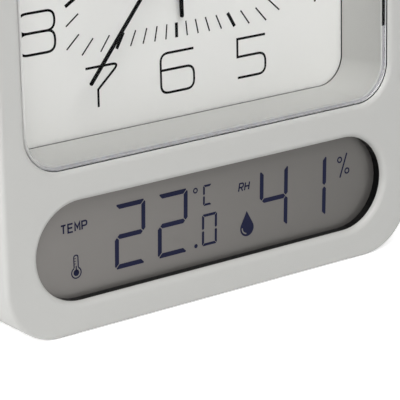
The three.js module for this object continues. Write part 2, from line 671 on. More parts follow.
// Front housing: front wall, side walls, dial well and the snooze bar's spring pocket in one moulding
function frontHousing() {
  const frontEdge = quarterRound(FRONT_ROUND).map(({ inset, depth }) => ({
    y: FRONT_Y + depth,
    outline: caseOutline(inset),
  }));
  const body = loft([...frontEdge, { y: SEAM_Y, outline: caseOutline(0) }]);
  const hollow = loft([
    { y: FRONT_Y + FRONT_WALL, outline: caseOutline(WALL) },
    { y: SEAM_Y + PAST, outline: caseOutline(WALL) },
  ]);
  const wellWidth = WINDOW_WIDTH + 2 * WELL_WALL;
  const wellHeight = WINDOW_HEIGHT + 2 * WELL_WALL;
  const seatWidth = DIAL_VIEW_WIDTH + 2 * WELL_WALL;
  const seatHeight = DIAL_VIEW_HEIGHT + 2 * WELL_WALL;
  const dialSeatY = DIAL_Y - SEAT_GAP;
  const wellOutside = roundedOutline(wellWidth, wellHeight, WINDOW_RADIUS + WELL_WALL, DIAL_Z);
  const seatOutside = roundedOutline(seatWidth, seatHeight, DIAL_VIEW_RADIUS + WELL_WALL, DIAL_Z);
  const well = loft([
    { y: FRONT_Y + FRONT_ROUND, outline: wellOutside },
    { y: LENS_BACK_Y, outline: wellOutside },
    { y: dialSeatY, outline: seatOutside },
  ]);
  const lensSeat = rimVoid(WINDOW_WIDTH, WINDOW_HEIGHT, WINDOW_RADIUS, DIAL_Z, WINDOW_ROUND, LENS_BACK_Y);
  const mouthWidth = WINDOW_WIDTH - 2 * LENS_LEDGE;
  const mouthHeight = WINDOW_HEIGHT - 2 * LENS_LEDGE;
  const wellMouth = roundedOutline(mouthWidth, mouthHeight, WINDOW_RADIUS - LENS_LEDGE, DIAL_Z);
  const wellFloor = roundedOutline(DIAL_VIEW_WIDTH, DIAL_VIEW_HEIGHT, DIAL_VIEW_RADIUS, DIAL_Z);
  const wellVoid = loft([
    { y: LENS_Y, outline: wellMouth },
    { y: LENS_BACK_Y, outline: wellMouth },
    { y: dialSeatY, outline: wellFloor },
    { y: DIAL_Y + PAST, outline: wellFloor },
  ]);
  const lensSlots = lensSlotPlaces().map(([x, z]) => block(
    x - LENS_SLOT_WIDTH / 2, x + LENS_SLOT_WIDTH / 2, LENS_BACK_Y - PAST, LENS_BACK_Y + LENS_SLOT_DEPTH,
    z - LENS_SLOT_LENGTH / 2, z + LENS_SLOT_LENGTH / 2,
  ));
  const displayEnd = DISPLAY_HEIGHT / 2;
  const frontWallBack = FRONT_Y + FRONT_WALL + PAST;
  const displayVoid = rimVoid(
    DISPLAY_WIDTH, DISPLAY_HEIGHT, displayEnd, DISPLAY_Z, DISPLAY_ROUND, frontWallBack, END_STEPS,
  );
  const pocketWidth = DISPLAY_WIDTH + 2 * (BEZEL_MARGIN + FIT_GAP);
  const pocketHeight = DISPLAY_HEIGHT + 2 * (BEZEL_MARGIN + FIT_GAP);
  const bezelPocket = plate(
    pocketWidth, pocketHeight, BEZEL_RADIUS, DISPLAY_Z, FRONT_Y + DISPLAY_ROUND, FRONT_Y + FRONT_WALL + PAST,
  );
  const ledgeX = INNER_HALF_WIDTH - BOARD_LEDGE;
  const ledges = [-1, 1].map((side) => {
    const inner = side * ledgeX;
    const outer = side * (INNER_HALF_WIDTH + WALL / 2);
    const zHalf = DISPLAY_HEIGHT / 4;
    const ends = [Math.min(inner, outer), Math.max(inner, outer)];
    return block(...ends, FRONT_Y + FRONT_WALL / 2, BOARD_Y - SEAT_GAP, DISPLAY_Z - zHalf, DISPLAY_Z + zHalf);
  });
  const bosses = bossPlaces.map(([x, z]) => rod(BOSS_RADIUS, BOSS_FRONT_Y, LIP_Y - SEAT_GAP, x, z));
  const pilots = bossPlaces.map(([x, z]) => {
    return rod(SCREW_RADIUS + SEAT_GAP, SEAM_Y - SCREW_LENGTH - PAST, SEAM_Y, x, z);
  });
  return cut(
    join(cut(body, hollow), well, ...ledges, ...bosses, snoozePocket()),
    lensSeat, wellVoid, ...lensSlots, bezelPocket, displayVoid, snoozeSlot(), baseRelief(), ...pilots,
  );
}

// Centres of the four narrow slots at the outside of the lens ledge, two each side
function lensSlotPlaces() {
  const x = (WINDOW_WIDTH - LENS_SLOT_WIDTH) / 2;
  const heights = [DIAL_Z - LENS_SLOT_OFFSET, DIAL_Z + LENS_SLOT_OFFSET];
  return heights.flatMap((z) => [[-x, z], [x, z]]);
}

// Opening in the top wall for the snooze bar
function snoozeSlot() {
  const width = SNOOZE_WIDTH + 2 * SNOOZE_GAP;
  const length = SNOOZE_LENGTH + 2 * SNOOZE_GAP;
  const slot = plate(length, width, width / 2, 0, INNER_TOP_Z - SEAT_GAP, CASE_HEIGHT + PAST);
  return slot.rotateX(Math.PI / 2).translate(0, SNOOZE_Y, 0);
}

// A tray hung from the top wall that carries the snooze springs and switch
function snoozePocket() {
  const half = SNOOZE_WIDTH / 2 + SNOOZE_GAP;
  const innerX = SNOOZE_FLANGE_HALF + SNOOZE_GAP;
  const outerX = innerX + SNOOZE_SHELF;
  const floorZ = SNOOZE_SHELF_Z - SNOOZE_SHELF;
  const rootZ = INNER_TOP_Z + WALL / 2;
  const tray = new THREE.Shape([
    new THREE.Vector2(-outerX, rootZ),
    new THREE.Vector2(-outerX, floorZ),
    new THREE.Vector2(outerX, floorZ),
    new THREE.Vector2(outerX, rootZ),
    new THREE.Vector2(innerX, rootZ),
    new THREE.Vector2(innerX, SNOOZE_SHELF_Z),
    new THREE.Vector2(-innerX, SNOOZE_SHELF_Z),
    new THREE.Vector2(-innerX, rootZ),
  ]);
  return prism(tray, SNOOZE_Y - half, SNOOZE_Y + half);
}

// Rear cover: a shallow tray with the battery trough, screw posts and openings for the controls
function rearCover() {
  const rearEdge = quarterRound(REAR_ROUND).reverse().map(({ inset, depth }) => ({
    y: REAR_Y - depth,
    outline: caseOutline(inset),
  }));
  const body = loft([{ y: SEAM_Y + SEAM_GAP, outline: caseOutline(0) }, ...rearEdge]);
  const hollow = loft([
    { y: SEAM_Y - PAST, outline: caseOutline(WALL) },
    { y: REAR_INNER_Y, outline: caseOutline(WALL) },
  ]);
  const lipOutside = caseOutline(WALL + FIT_GAP);
  const lipInside = caseOutline(WALL + FIT_GAP + LIP_WALL);
  const lipRoot = caseOutline(WALL - LIP_WALL);
  const lip = cut(
    join(
      loft([{ y: LIP_Y, outline: lipOutside }, { y: SEAM_Y + SEAM_GAP, outline: lipOutside }]),
      loft([{ y: SEAM_Y + SEAM_GAP, outline: lipRoot }, { y: SEAM_Y + LIP_LENGTH, outline: lipRoot }]),
    ),
    loft([{ y: LIP_Y - PAST, outline: lipInside }, { y: REAR_Y - REAR_WALL / 2, outline: lipInside }]),
  );
  const noseRadius = BOSS_RADIUS - BOSS_BITE - FIT_GAP;
  const posts = bossPlaces.flatMap(([x, z]) => [
    rod(noseRadius, LIP_Y, SEAM_Y + LIP_LENGTH, x, z, ROUND_SIDES),
    rod(BOSS_RADIUS, SEAM_Y + SEAM_GAP, REAR_INNER_Y + REAR_WALL / 2, x, z),
  ]);
  const padReach = movementHalf - PAD_RADIUS;
  const pads = [[-1, -1], [1, -1], [-1, 1], [1, 1]].map(([sideX, sideZ]) => {
    const padFront = MOVEMENT_Y + MOVEMENT_DEPTH + SEAT_GAP;
    const padBack = REAR_INNER_Y + REAR_WALL / 2;
    return rod(PAD_RADIUS, padFront, padBack, sideX * padReach, DIAL_Z + sideZ * padReach);
  });
  const screwHoles = bossPlaces.flatMap(([x, z]) => [
    rod(SCREW_RADIUS + FIT_GAP, LIP_Y - PAST, REAR_Y + PAST, x, z),
    rod(SCREW_HEAD_RADIUS + FIT_GAP, screwSeatY(), REAR_Y + PAST, x, z),
  ]);
  const troughOuter = TROUGH_HALF + TROUGH_WALL;
  const frameFront = DOOR_INNER_Y - SEAT_GAP - DOOR_FRAME;
  const frameHalf = DOOR_HALF + DOOR_FRAME;
  const trough = cut(
    join(
      block(
        -troughOuter, troughOuter, TROUGH_FRONT_Y - TROUGH_WALL, frameFront + SEAT_GAP,
        TROUGH_FLOOR_Z - TROUGH_WALL, TROUGH_TOP_Z + TROUGH_WALL,
      ),
      block(-frameHalf, frameHalf, frameFront, REAR_Y - REAR_WALL / 2, WALL / 2, DOOR_HIGH_Z + DOOR_FRAME),
    ),
    block(-TROUGH_HALF, TROUGH_HALF, TROUGH_FRONT_Y, REAR_Y + PAST, TROUGH_FLOOR_Z, TROUGH_TOP_Z),
  );
  const knobHoles = [timeSet, alarmSet].map(({ x, z }) => {
    return rod(KNOB_COLLAR + KNOB_CLEARANCE, REAR_INNER_Y - PAST, REAR_Y + PAST, x, DIAL_Z + z);
  });
  const switchHalf = SWITCH_STEM / 2 + SLIDING_GAP;
  const switchSlot = block(
    -SIDE_CONTROL_X - switchHalf, -SIDE_CONTROL_X + switchHalf, REAR_INNER_Y - PAST, REAR_Y + PAST,
    SIDE_CONTROL_Z - switchHalf, SIDE_CONTROL_Z + SWITCH_TRAVEL + switchHalf,
  );
  const buttonHole = rod(
    BUTTON_RADIUS + SLIDING_GAP, REAR_INNER_Y - PAST, REAR_Y + PAST, SIDE_CONTROL_X, BUTTON_Z, ROUND_SIDES,
  );
  const soundSlots = slotRow(SIDE_CONTROL_X, SIDE_CONTROL_Z);
  const airSlots = slotRow(-SIDE_CONTROL_X, BUTTON_Z);
  return cut(
    join(cut(body, hollow), lip, ...posts, ...pads, trough),
    doorOpening(), ...doorSockets(), ...screwHoles, ...knobHoles, switchSlot, buttonHole,
    ...soundSlots, ...airSlots, baseRelief(),
  );
}

function screwSeatY() {
  return REAR_Y - SCREW_SINK - SCREW_HEAD_HEIGHT;
}

// A row of level slots through the rear wall
function slotRow(x, z) {
  return Array.from({ length: SLOT_COUNT }, (_, i) => {
    const middle = z + (i - (SLOT_COUNT - 1) / 2) * SLOT_PITCH;
    return block(
      x - SLOT_LENGTH / 2, x + SLOT_LENGTH / 2, REAR_INNER_Y - PAST, REAR_Y + PAST,
      middle - SLOT_WIDTH / 2, middle + SLOT_WIDTH / 2,
    );
  });
}

const DOOR_HALF = TROUGH_HALF + DOOR_MARGIN;
const DOOR_LOW_Z = TROUGH_FLOOR_Z - DOOR_MARGIN;
const DOOR_HIGH_Z = TROUGH_TOP_Z + DOOR_MARGIN;
const DOOR_MIDDLE_Z = (DOOR_LOW_Z + DOOR_HIGH_Z) / 2;
const DOOR_TABS_X = [-TROUGH_HALF / 2, TROUGH_HALF / 2];

// The door lies flush in a rebate; the trough's mouth opens behind it
function doorOpening() {
  const width = 2 * (DOOR_HALF + SLIDING_GAP);
  const height = DOOR_HIGH_Z - DOOR_LOW_Z + 2 * SLIDING_GAP;
  const rebate = plate(
    width, height, DOOR_RADIUS + SLIDING_GAP, DOOR_MIDDLE_Z, DOOR_INNER_Y - SEAT_GAP, REAR_Y + PAST,
  );
  const mouthY = DOOR_INNER_Y - DOOR_FRAME;
  return join(rebate, block(-TROUGH_HALF, TROUGH_HALF, mouthY, REAR_Y, TROUGH_FLOOR_Z, TROUGH_TOP_Z));
}

// Slots under the door's lower edge and above its upper edge, for the tabs and the latch
function doorSockets() {
  const yEnds = [DOOR_INNER_Y - DOOR_TAB_THICKNESS - 2 * SLIDING_GAP, DOOR_INNER_Y + SLIDING_GAP];
  const low = DOOR_LOW_Z - DOOR_TAB_REACH - 2 * SLIDING_GAP;
  const tabs = DOOR_TABS_X.map((x) => {
    const half = DOOR_TAB_WIDTH / 2 + SLIDING_GAP;
    return block(x - half, x + half, ...yEnds, low, TROUGH_FLOOR_Z + FIT_GAP);
  });
  const latchHalf = DOOR_LATCH_WIDTH / 2 + SLIDING_GAP;
  const latch = block(-latchHalf, latchHalf, ...yEnds, TROUGH_TOP_Z - FIT_GAP, DOOR_HIGH_Z);
  return [...tabs, latch];
}

// Battery door with two hooks below and a sprung latch above
function batteryDoor() {
  const panelHeight = DOOR_HIGH_Z - DOOR_LOW_Z;
  const panel = plate(2 * DOOR_HALF, panelHeight, DOOR_RADIUS, DOOR_MIDDLE_Z, DOOR_INNER_Y, REAR_Y);
  const tabFront = DOOR_INNER_Y - DOOR_TAB_THICKNESS;
  const tabs = DOOR_TABS_X.map((x) => {
    const half = DOOR_TAB_WIDTH / 2;
    const low = DOOR_LOW_Z - DOOR_TAB_REACH;
    return block(x - half, x + half, tabFront, DOOR_INNER_Y + SEAT_GAP, low, TROUGH_FLOOR_Z - SLIDING_GAP);
  });
  const latchHalf = DOOR_LATCH_WIDTH / 2;
  const latch = block(
    -latchHalf, latchHalf, tabFront, DOOR_INNER_Y + SEAT_GAP,
    TROUGH_TOP_Z + SLIDING_GAP, DOOR_HIGH_Z - SLIDING_GAP,
  );
  const fingerNotch = block(
    -latchHalf, latchHalf, REAR_Y - DOOR_THICKNESS / 2, REAR_Y + PAST,
    DOOR_HIGH_Z - DOOR_MARGIN, DOOR_HIGH_Z + PAST,
  );
  return cut(join(panel, ...tabs, latch), fingerNotch);
}

// Flat clear window with a bevelled front edge
function dialLens() {
  const width = WINDOW_WIDTH - 2 * FIT_GAP;
  const height = WINDOW_HEIGHT - 2 * FIT_GAP;
  const radius = WINDOW_RADIUS - FIT_GAP;
  const inset = 2 * LENS_BEVEL_WIDTH;
  const face = roundedOutline(width - inset, height - inset, radius - LENS_BEVEL_WIDTH, DIAL_Z);
  const edge = roundedOutline(width, height, radius, DIAL_Z);
  return loft([
    { y: LENS_Y, outline: face },
    { y: LENS_Y + LENS_BEVEL_DEPTH, outline: edge },
    { y: LENS_BACK_Y - SEAT_GAP, outline: edge },
  ]);
}

function dialPlate() {
  const width = DIAL_VIEW_WIDTH + 2 * WELL_WALL;
  const height = DIAL_VIEW_HEIGHT + 2 * WELL_WALL;
  const card = plate(width, height, DIAL_VIEW_RADIUS + WELL_WALL, DIAL_Z, DIAL_Y, DIAL_BACK_Y);
  const hole = rod(BUSH_RADIUS + RUNNING_GAP, DIAL_Y - PAST, DIAL_BACK_Y + PAST, 0, DIAL_Z, ROUND_SIDES);
  return cut(card, hole);
}

// Black frame that lines the display window
function displayBezel() {
  const outer = plate(
    DISPLAY_WIDTH + 2 * BEZEL_MARGIN, DISPLAY_HEIGHT + 2 * BEZEL_MARGIN, BEZEL_RADIUS, DISPLAY_Z,
    BEZEL_Y, BEZEL_Y + BEZEL_DEPTH,
  );
  const opening = plate(
    DISPLAY_WIDTH, DISPLAY_HEIGHT, DISPLAY_HEIGHT / 2, DISPLAY_Z, BEZEL_Y - PAST, GLASS_Y + PAST, END_STEPS,
  );
  return cut(outer, opening);
}

// Two bonded glass plates; the rear one carries the contact ledges
function displayGlass() {
  const half = DISPLAY_WIDTH / 2 + GLASS_MARGIN;
  const frontHalf = DISPLAY_HEIGHT / 2 + GLASS_MARGIN - GLASS_LEDGE;
  const backHalf = DISPLAY_HEIGHT / 2 + GLASS_MARGIN;
  const middleY = GLASS_Y + GLASS_PLATE;
  return join(
    block(-half, half, GLASS_Y, middleY + SEAT_GAP, DISPLAY_Z - frontHalf, DISPLAY_Z + frontHalf),
    block(-half, half, middleY, middleY + GLASS_PLATE, DISPLAY_Z - backHalf, DISPLAY_Z + backHalf),
  );
}

// Conductive rubber strip between the glass and its board
function contactStrip(side) {
  const half = DISPLAY_WIDTH / 2 - STRIP_INSET;
  const far = DISPLAY_HEIGHT / 2 + GLASS_MARGIN - FIT_GAP;
  const ends = [DISPLAY_Z + side * far, DISPLAY_Z + side * (far - STRIP_WIDTH)];
  return block(-half, half, STRIP_Y, STRIP_Y + STRIP_HEIGHT, Math.min(...ends), Math.max(...ends));
}

// The board's corners follow the case's inside corners
function displayBoard() {
  const width = 2 * (INNER_HALF_WIDTH - SLIDING_GAP);
  const height = DISPLAY_HEIGHT + 2 * GLASS_MARGIN;
  return plate(width, height, INNER_RADIUS, DISPLAY_Z, BOARD_Y, BOARD_BACK_Y);
}

// Domed epoxy cover over the display's chip
function displayChip() {
  const steps = 5;
  const dome = Array.from({ length: steps + 1 }, (_, i) => {
    const angle = i / steps * Math.PI / 2;
    return [CHIP_RADIUS * Math.cos(angle), CHIP_HEIGHT * Math.sin(angle)];
  });
  return turned([[0, 0], ...dome]).translate(0, BOARD_BACK_Y + SEAT_GAP, DISPLAY_Z);
}

// Temperature and humidity sensor with an open grille face
function climateSensor() {
  const half = SENSOR_SIZE / 2;
  const front = BOARD_BACK_Y + SEAT_GAP;
  const back = front + SENSOR_HEIGHT;
  const housing = block(
    -SIDE_CONTROL_X - half, -SIDE_CONTROL_X + half, front, back, BUTTON_Z - half, BUTTON_Z + half,
  );
  const well = rod(half / 2, (front + back) / 2, back + PAST, -SIDE_CONTROL_X, BUTTON_Z);
  return cut(housing, well);
}

// Push switch under the unit button
function unitSwitch() {
  const half = TACT_SIZE / 2;
  const front = BOARD_BACK_Y + SEAT_GAP;
  const top = front + TACT_HEIGHT;
  return join(
    block(SIDE_CONTROL_X - half, SIDE_CONTROL_X + half, front, top, BUTTON_Z - half, BUTTON_Z + half),
    rod(TACT_PLUNGER_RADIUS, top - SEAT_GAP, top + TACT_PLUNGER_RISE, SIDE_CONTROL_X, BUTTON_Z),
  );
}

// Unit button with a long stem that reaches the display board
function unitButton() {
  const plungerTop = BOARD_BACK_Y + SEAT_GAP + TACT_HEIGHT + TACT_PLUNGER_RISE;
  const flangeBack = REAR_INNER_Y - SLIDING_GAP;
  const flangeFront = flangeBack - BUTTON_FLANGE_THICKNESS;
  return turned([
    [0, plungerTop + BUTTON_TRAVEL + SLIDING_GAP],
    [BUTTON_STEM_RADIUS, plungerTop + BUTTON_TRAVEL + SLIDING_GAP],
    [BUTTON_STEM_RADIUS, flangeFront],
    [BUTTON_RADIUS + BUTTON_FLANGE, flangeFront],
    [BUTTON_RADIUS + BUTTON_FLANGE, flangeBack],
    [BUTTON_RADIUS, flangeBack],
    [BUTTON_RADIUS, REAR_Y + BUTTON_RISE],
    [0, REAR_Y + BUTTON_RISE],
  ]).translate(SIDE_CONTROL_X, 0, BUTTON_Z);
}

// Snooze bar: a rounded bar over a longer flange that catches under the top wall
function snoozeBar() {
  const topZ = CASE_HEIGHT + SNOOZE_RISE;
  const half = SNOOZE_WIDTH / 2;
  const edge = quarterRound(SNOOZE_ROUND);
  const outline = (inset) => {
    const radius = half - inset;
    return roundedOutline(SNOOZE_LENGTH - 2 * inset, SNOOZE_WIDTH - 2 * inset, radius, 0, CORNER_STEPS);
  };
  const sections = edge.map(({ inset, depth }) => ({ y: -depth, outline: outline(inset) })).reverse();
  const foot = { y: SNOOZE_FLANGE_TOP - SEAT_GAP - topZ, outline: outline(0) };
  const bar = loft([foot, ...sections]).rotateX(Math.PI / 2).translate(0, SNOOZE_Y, topZ);
  const flange = block(
    -SNOOZE_FLANGE_HALF, SNOOZE_FLANGE_HALF, SNOOZE_Y - half, SNOOZE_Y + half,
    SNOOZE_FLANGE_Z, SNOOZE_FLANGE_TOP,
  );
  const switchTop = SNOOZE_SHELF_Z + SEAT_GAP + TACT_HEIGHT + TACT_PLUNGER_RISE;
  const stemEnd = switchTop + SNOOZE_TRAVEL + SLIDING_GAP;
  const stem = post(SNOOZE_STEM_RADIUS, stemEnd, SNOOZE_FLANGE_Z + SEAT_GAP, 0, SNOOZE_Y);
  return join(bar, flange, stem);
}

function snoozeSwitch() {
  const half = TACT_SIZE / 2;
  const low = SNOOZE_SHELF_Z + SEAT_GAP;
  const top = low + TACT_HEIGHT;
  return join(
    block(-half, half, SNOOZE_Y - half, SNOOZE_Y + half, low, top),
    post(TACT_PLUNGER_RADIUS, top - SEAT_GAP, top + TACT_PLUNGER_RISE, 0, SNOOZE_Y),
  );
}

const snoozeCoilLength = SPRING_LENGTH - 2 * SPRING_WIRE;
const snoozeCurve = new CoilCurve(snoozeCoilLength, SPRING_RADIUS, SPRING_RADIUS, SPRING_CURLS);

function snoozeSpring(side) {
  const floor = SNOOZE_SHELF_Z + SEAT_GAP + SPRING_WIRE;
  return coil(snoozeCurve, SPRING_WIRE).translate(side * SPRING_SPREAD / 2, SNOOZE_Y, floor);
}

// A hand: a round-ended bar, an optional tail, and a hub ring pressed on its tube
function hand(length, width, tail, bore, hubRadius, top) {
  const half = width / 2;
  const shape = new THREE.Shape();
  shape.moveTo(half, -tail);
  shape.lineTo(half, length - half);
  shape.absarc(0, length - half, half, 0, Math.PI);
  shape.lineTo(-half, -tail);
  const yFront = -top;
  const yBack = yFront + HAND_THICKNESS;
  const bar = join(prism(shape, yFront, yBack), rod(hubRadius, yFront, yBack, 0, 0, ROUND_SIDES));
  return cut(bar, rod(bore, yFront - PAST, yBack + PAST, 0, 0, ROUND_SIDES));
}

// The second hand's hub is a closed cap pushed over the arbor's end
function secondHand() {
  const bore = SECOND_ARBOR_RADIUS + PRESS_GAP;
  const hub = bore + HUB_MARGIN;
  const flat = hand(SECOND_HAND_LENGTH, SECOND_HAND_WIDTH, SECOND_HAND_TAIL, bore, hub, SECOND_HAND_TOP);
  const capFront = -SECOND_HAND_TOP - HAND_THICKNESS * 2;
  const cap = rod(hub, capFront, -SECOND_HAND_TOP + SEAT_GAP, 0, 0, ROUND_SIDES);
  return join(flat, cap);
}

// Distances of the hand planes in front of the movement
const DIAL_AHEAD = -(DIAL_THICKNESS + SEAT_GAP);

function tubeFront(handTop) {
  return DIAL_AHEAD - handTop;
}

// A wheel on a tube: teeth at one layer, the tube running forward to its hand
function tubeWheel(wheel, layer, thickness, bore, radius, handTop) {
  const back = layer + thickness;
  const front = tubeFront(handTop);
  const body = join(teethOf(wheel, layer, thickness), rod(radius, front, back, 0, 0, ROUND_SIDES));
  return cut(body, rod(bore, front - PAST, back + PAST, 0, 0, ROUND_SIDES));
}

function alarmWheelPart() {
  return tubeWheel(alarmWheel, ALARM_LAYER, WHEEL_THICKNESS, ALARM_BORE, ALARM_RADIUS, ALARM_HAND_TOP);
}

function hourWheelPart() {
  return tubeWheel(hourWheel, HOUR_LAYER, WHEEL_THICKNESS, HOUR_BORE, HOUR_RADIUS, HOUR_HAND_TOP);
}

// The minute hand's pinion; its rear sleeve grips the centre wheel by friction
function cannonPinion() {
  const back = CENTRE_LAYER + PINION_THICKNESS;
  const body = join(
    teethOf(cannon, CANNON_LAYER, PINION_THICKNESS),
    rod(CANNON_RADIUS, tubeFront(MINUTE_HAND_TOP), back, 0, 0, ROUND_SIDES),
  );
  return cut(body, rod(CANNON_BORE, tubeFront(MINUTE_HAND_TOP) - PAST, back + PAST, 0, 0, ROUND_SIDES));
}

function centreWheelPart() {
  const back = CENTRE_LAYER + WHEEL_THICKNESS;
  const bore = rod(CANNON_RADIUS + PRESS_GAP, CENTRE_LAYER - PAST, back + PAST, 0, 0, ROUND_SIDES);
  return cut(teethOf(centreWheel, CENTRE_LAYER, WHEEL_THICKNESS), bore);
}

const PIVOT_FRONT = BASE_BACK - PIVOT_DEPTH;
const PIVOT_BACK = COVER_FRONT + PIVOT_DEPTH;

function thirdWheelPart() {
  return join(
    teethOf(thirdPinion, CENTRE_LAYER, PINION_THICKNESS + LAYER_GAP),
    teethOf(thirdWheel, THIRD_LAYER, WHEEL_THICKNESS),
    rod(ARBOR_RADIUS, PIVOT_FRONT, PIVOT_BACK),
  );
}

function secondWheelPart() {
  return join(
    rod(SECOND_ARBOR_RADIUS, tubeFront(SECOND_HAND_TOP - 2 * SEAT_GAP), PIVOT_BACK),
    teethOf(secondPinion, THIRD_LAYER, PINION_THICKNESS + LAYER_GAP),
    teethOf(secondWheel, SECOND_LAYER, WHEEL_THICKNESS),
  );
}

// The intermediate wheel runs on a stud of the movement's cover
function stepWheelPart() {
  const back = STEP_LAYER + WHEEL_THICKNESS;
  const body = join(
    teethOf(stepPinion, SECOND_LAYER, PINION_THICKNESS + LAYER_GAP + SEAT_GAP),
    teethOf(stepWheel, STEP_LAYER, WHEEL_THICKNESS),
  );
  return cut(body, rod(ARBOR_RADIUS + RUNNING_GAP, SECOND_LAYER - PAST, back + PAST));
}

const MAGNET_LAYER = SECOND_LAYER - LAYER_GAP / 2;
const MAGNET_BACK = SECOND_LAYER + PINION_THICKNESS;

function rotorPart() {
  return join(
    rod(ARBOR_RADIUS, PIVOT_FRONT, PIVOT_BACK),
    rod(MAGNET_RADIUS, MAGNET_LAYER, MAGNET_BACK, 0, 0, ROUND_SIDES),
    teethOf(rotorPinion, STEP_LAYER, PINION_THICKNESS),
  );
}

// The minute work runs on a stud of the movement's base
function minuteWorkPart() {
  const back = CANNON_LAYER + WHEEL_THICKNESS;
  const body = join(
    teethOf(minutePinion, HOUR_LAYER, PINION_THICKNESS + LAYER_GAP + SEAT_GAP),
    teethOf(minuteWheel, CANNON_LAYER, WHEEL_THICKNESS),
  );
  return cut(body, rod(ARBOR_RADIUS + RUNNING_GAP, HOUR_LAYER - PAST, back + PAST));
}

const KNOB_FRONT_Y = REAR_Y + KNOB_GAP - MOVEMENT_Y;
const KNOB_BACK_Y = REAR_Y + KNOB_REACH - MOVEMENT_Y;
const COLLAR_FRONT_Y = MOVEMENT_DEPTH + SLIDING_GAP;
const SET_ARBOR_END = KNOB_BACK_Y - KNOB_REACH / 2;

// A setting gear on the arbor that comes out of the back
function setGearPart(wheel, layer, thickness) {
  return join(teethOf(wheel, layer, thickness), rod(SET_ARBOR_RADIUS, PIVOT_FRONT, SET_ARBOR_END));
}

function flutedOutline(radius) {
  return Array.from({ length: KNOB_FLUTES * 2 }, (_, i) => {
    const angle = i / KNOB_FLUTES * Math.PI;
    const reach = i % 2 ? radius - KNOB_FLUTE_DEPTH : radius;
    return [reach * Math.cos(angle), reach * Math.sin(angle)];
  });
}

// Fluted setting knob with a collar through the rear wall and a blind bore for its arbor
function settingKnob() {
  const cap = loft([
    { y: KNOB_FRONT_Y, outline: flutedOutline(KNOB_RADIUS) },
    { y: KNOB_BACK_Y - KNOB_CHAMFER, outline: flutedOutline(KNOB_RADIUS) },
    { y: KNOB_BACK_Y, outline: flutedOutline(KNOB_RADIUS - KNOB_CHAMFER) },
  ]);
  const collar = rod(KNOB_COLLAR, COLLAR_FRONT_Y, KNOB_FRONT_Y + SEAT_GAP);
  const bore = rod(SET_ARBOR_RADIUS + PRESS_GAP, COLLAR_FRONT_Y - PAST, SET_ARBOR_END + PRESS_GAP);
  return cut(join(cap, collar), bore);
}

// Movement base: front plate, side walls, centre bush, stud and board posts
const boardX = -movementInner + CLOCK_BOARD_WIDTH / 2 + FIT_GAP;
const BOARD_POST_INSET = 2.0;
const boardPostZ = CLOCK_BOARD_HEIGHT / 2 - BOARD_POST_INSET;
const CLOCK_BOARD_LAYER = THIRD_LAYER;

function movementBase() {
  const width = 2 * movementHalf;
  const inside = 2 * movementInner;
  const tray = cut(
    plate(width, width, MOVEMENT_RADIUS, 0, 0, COVER_FRONT - SEAT_GAP),
    plate(inside, inside, MOVEMENT_RADIUS - MOVEMENT_WALL, 0, BASE_BACK, COVER_FRONT + PAST),
  );
  const bush = rod(BUSH_RADIUS, DIAL_AHEAD, BASE_BACK, 0, 0, ROUND_SIDES);
  const bushBore = rod(BUSH_BORE, DIAL_AHEAD - PAST, BASE_BACK + PAST, 0, 0, ROUND_SIDES);
  const studEnd = CANNON_LAYER + WHEEL_THICKNESS;
  const stud = rod(ARBOR_RADIUS, BASE_BACK - SEAT_GAP, studEnd, minuteWheel.x, minuteWheel.z);
  const boardPosts = [-boardPostZ, boardPostZ].map((z) => {
    return rod(SET_ARBOR_RADIUS, BASE_BACK - SEAT_GAP, CLOCK_BOARD_LAYER - SEAT_GAP, boardX, z);
  });
  const pivots = pivotHoles(PIVOT_FRONT - SEAT_GAP, BASE_BACK + PAST);
  return cut(join(tray, bush, stud, ...boardPosts), bushBore, ...pivots);
}

// Bearing holes for the arbors, in the base or in the cover
function pivotHoles(yFront, yBack) {
  const fineBore = ARBOR_RADIUS + RUNNING_GAP;
  const wideBore = SET_ARBOR_RADIUS + RUNNING_GAP;
  const fine = [thirdWheel, rotorPinion].map(({ x, z }) => rod(fineBore, yFront, yBack, x, z));
  const wide = [timeSet, alarmSet].map(({ x, z }) => rod(wideBore, yFront, yBack, x, z));
  return [...fine, ...wide];
}

function movementCover() {
  const width = 2 * movementHalf;
  const lid = plate(width, width, MOVEMENT_RADIUS, 0, COVER_FRONT, MOVEMENT_DEPTH);
  const stud = rod(ARBOR_RADIUS, SECOND_LAYER, COVER_FRONT + SEAT_GAP, stepWheel.x, stepWheel.z);
  const secondPivot = rod(SECOND_ARBOR_RADIUS + RUNNING_GAP, COVER_FRONT - PAST, PIVOT_BACK + SEAT_GAP);
  const pivots = pivotHoles(COVER_FRONT - PAST, PIVOT_BACK + SEAT_GAP);
  const ways = [timeSet, alarmSet].map(({ x, z }) => {
    return rod(SET_ARBOR_RADIUS + RUNNING_GAP, COVER_FRONT - PAST, MOVEMENT_DEPTH + PAST, x, z);
  });
  return cut(join(lid, stud), secondPivot, ...pivots, ...ways);
}

// The stator's two limbs lead from the rotor to the ends of the coil's core
const STATOR_LAYER = SECOND_LAYER + (PINION_THICKNESS - STATOR_THICKNESS) / 2;
const coilTopZ = rotorPinion.z - statorRadius;
const coilLowZ = coilTopZ - COIL_LENGTH - 2 * COIL_FLANGE_THICKNESS;
const limbLowZ = coilLowZ - STATOR_ARM;

